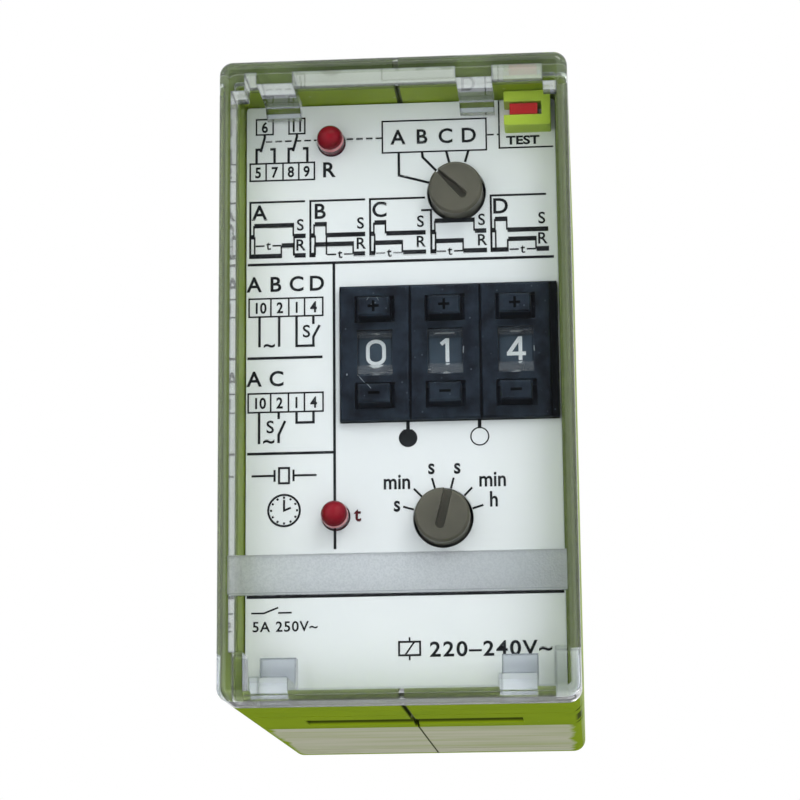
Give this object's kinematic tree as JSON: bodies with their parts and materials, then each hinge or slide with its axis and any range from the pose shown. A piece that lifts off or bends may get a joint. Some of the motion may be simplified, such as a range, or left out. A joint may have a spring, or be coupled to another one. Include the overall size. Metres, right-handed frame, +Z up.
{
  "type": "digital timer relay",
  "caption": "Plug-in digital timer relay: green split housing, clear clip-on cover, push-wheel time setting, slotted rotary selectors, red lamps and a guarded test key.",
  "frame": {"origin": "centre of the pin circle on the seating plane at the back of the housing", "axes": "+Y along the pins out of the back, +Z up, +X to the right seen from the front"},
  "size_m": [0.038, 0.086, 0.07],
  "materials": {
    "lime_plastic": "glossy moulded lime green plastic",
    "clear_plastic": "clear moulded plastic",
    "plate_white": "white printed sheet",
    "black_plastic": "satin black moulding",
    "drum_grey": "dark grey drum with white digits",
    "window_clear": "clear window",
    "selector_brown": "olive brown moulding",
    "lamp_red": "red lamp resin",
    "key_red": "red moulding",
    "board": "glass fibre circuit board",
    "plug_black": "black phenolic moulding",
    "pin_metal": "nickel-plated tube pins",
    "spring_metal": "spring strip",
    "relay_steel": "zinc-plated soft iron",
    "relay_plastic": "natural moulding",
    "copper": "enamelled copper wire",
    "contact_metal": "bronze strip with contact rivets",
    "capacitor_yellow": "boxed film capacitor",
    "capacitor_sleeve": "sleeved can",
    "crystal_can": "drawn metal can",
    "chip_black": "moulded chip package",
    "resistor_tan": "lacquered resistor body"
  },
  "bodies": {
    "housing": {"base_pcb": "board", "counter_chip": "chip_black", "diodes": "chip_black", "dropper_capacitor": "capacitor_yellow", "face_plate": "plate_white", "fixed_contacts": "contact_metal", "front_pcb": "board", "function_switch": "black_plastic", "housing_left": "lime_plastic", "housing_right": "lime_plastic", "led_leads": "pin_metal", "led_relay": "lamp_red", "led_timing": "lamp_red", "main_pcb": "board", "minus_spring_1": "spring_metal", "minus_spring_2": "spring_metal", "minus_spring_3": "spring_metal", "plug_base": "plug_black", "plug_pins": "pin_metal", "plus_spring_1": "spring_metal", "plus_spring_2": "spring_metal", "plus_spring_3": "spring_metal", "quartz_crystal": "crystal_can", "relay_base": "relay_plastic", "relay_bobbin": "relay_plastic", "relay_core": "relay_steel", "relay_winding": "copper", "relay_yoke": "relay_steel", "resistors": "resistor_tan", "smoothing_capacitor": "capacitor_sleeve", "test_guard": "lime_plastic", "test_spring": "spring_metal", "time_switch": "black_plastic", "timer_chip": "chip_black", "wheel_body_1": "black_plastic", "wheel_body_2": "black_plastic", "wheel_body_3": "black_plastic", "wheel_end_plate": "black_plastic", "wheel_tie_rods": "relay_steel", "wheel_window_1": "window_clear", "wheel_window_2": "window_clear", "wheel_window_3": "window_clear"},
    "cover": {"clear_cover": "clear_plastic"},
    "function_rotor": {"function_selector": "selector_brown"},
    "time_rotor": {"time_selector": "selector_brown"},
    "test": {"test_key": "key_red"},
    "armature": {"relay_armature": "relay_steel", "contact_carrier": "relay_plastic", "moving_contacts": "contact_metal"},
    "drum_1": {"digit_drum_1": "drum_grey"},
    "plus_1": {"plus_key_1": "black_plastic"},
    "minus_1": {"minus_key_1": "black_plastic"},
    "drum_2": {"digit_drum_2": "drum_grey"},
    "plus_2": {"plus_key_2": "black_plastic"},
    "minus_2": {"minus_key_2": "black_plastic"},
    "drum_3": {"digit_drum_3": "drum_grey"},
    "plus_3": {"plus_key_3": "black_plastic"},
    "minus_3": {"minus_key_3": "black_plastic"}
  },
  "joints": [
    {"name": "cover_pull", "type": "slide", "parent": "housing", "child": "cover", "axis": [0, -1, 0], "range_m": [0, 0.025]},
    {"name": "function_turn", "type": "hinge", "parent": "housing", "child": "function_rotor", "pos_m": [0.00625, -0.0595, 0.0227], "axis": [0, -1, 0], "range_deg": [-60, 30]},
    {"name": "time_turn", "type": "hinge", "parent": "housing", "child": "time_rotor", "pos_m": [0.0043, -0.0595, -0.0142], "axis": [0, -1, 0], "range_deg": [-60, 90]},
    {"name": "test_press", "type": "slide", "parent": "housing", "child": "test", "axis": [0, 1, 0], "range_m": [0, 0.001], "stiffness_N_per_m": 500, "springref_m": -0.001, "deforming": ["test_spring"]},
    {"name": "armature_rock", "type": "hinge", "parent": "housing", "child": "armature", "pos_m": [0.001, -0.0355, 0.011], "axis": [-1, 0, 0], "range_deg": [0, 2.8]},
    {"name": "drum_roll_1", "type": "hinge", "parent": "housing", "child": "drum_1", "pos_m": [0, -0.0528, 0.00435], "axis": [1, 0, 0], "continuous": true},
    {"name": "plus_press_1", "type": "slide", "parent": "housing", "child": "plus_1", "axis": [0, 1, 0], "range_m": [0, 0.001], "stiffness_N_per_m": 300, "springref_m": -0.001, "deforming": ["plus_spring_1"]},
    {"name": "minus_press_1", "type": "slide", "parent": "housing", "child": "minus_1", "axis": [0, 1, 0], "range_m": [0, 0.001], "stiffness_N_per_m": 300, "springref_m": -0.001, "deforming": ["minus_spring_1"]},
    {"name": "drum_roll_2", "type": "hinge", "parent": "housing", "child": "drum_2", "pos_m": [0, -0.0528, 0.00435], "axis": [1, 0, 0], "continuous": true},
    {"name": "plus_press_2", "type": "slide", "parent": "housing", "child": "plus_2", "axis": [0, 1, 0], "range_m": [0, 0.001], "stiffness_N_per_m": 300, "springref_m": -0.001, "deforming": ["plus_spring_2"]},
    {"name": "minus_press_2", "type": "slide", "parent": "housing", "child": "minus_2", "axis": [0, 1, 0], "range_m": [0, 0.001], "stiffness_N_per_m": 300, "springref_m": -0.001, "deforming": ["minus_spring_2"]},
    {"name": "drum_roll_3", "type": "hinge", "parent": "housing", "child": "drum_3", "pos_m": [0, -0.0528, 0.00435], "axis": [1, 0, 0], "continuous": true},
    {"name": "plus_press_3", "type": "slide", "parent": "housing", "child": "plus_3", "axis": [0, 1, 0], "range_m": [0, 0.001], "stiffness_N_per_m": 300, "springref_m": -0.001, "deforming": ["plus_spring_3"]},
    {"name": "minus_press_3", "type": "slide", "parent": "housing", "child": "minus_3", "axis": [0, 1, 0], "range_m": [0, 0.001], "stiffness_N_per_m": 300, "springref_m": -0.001, "deforming": ["minus_spring_3"]}
  ],
  "couplings": [
    {"joint": "armature_rock", "follows": "test_press", "rad_per_m": 48.78}
  ]
}
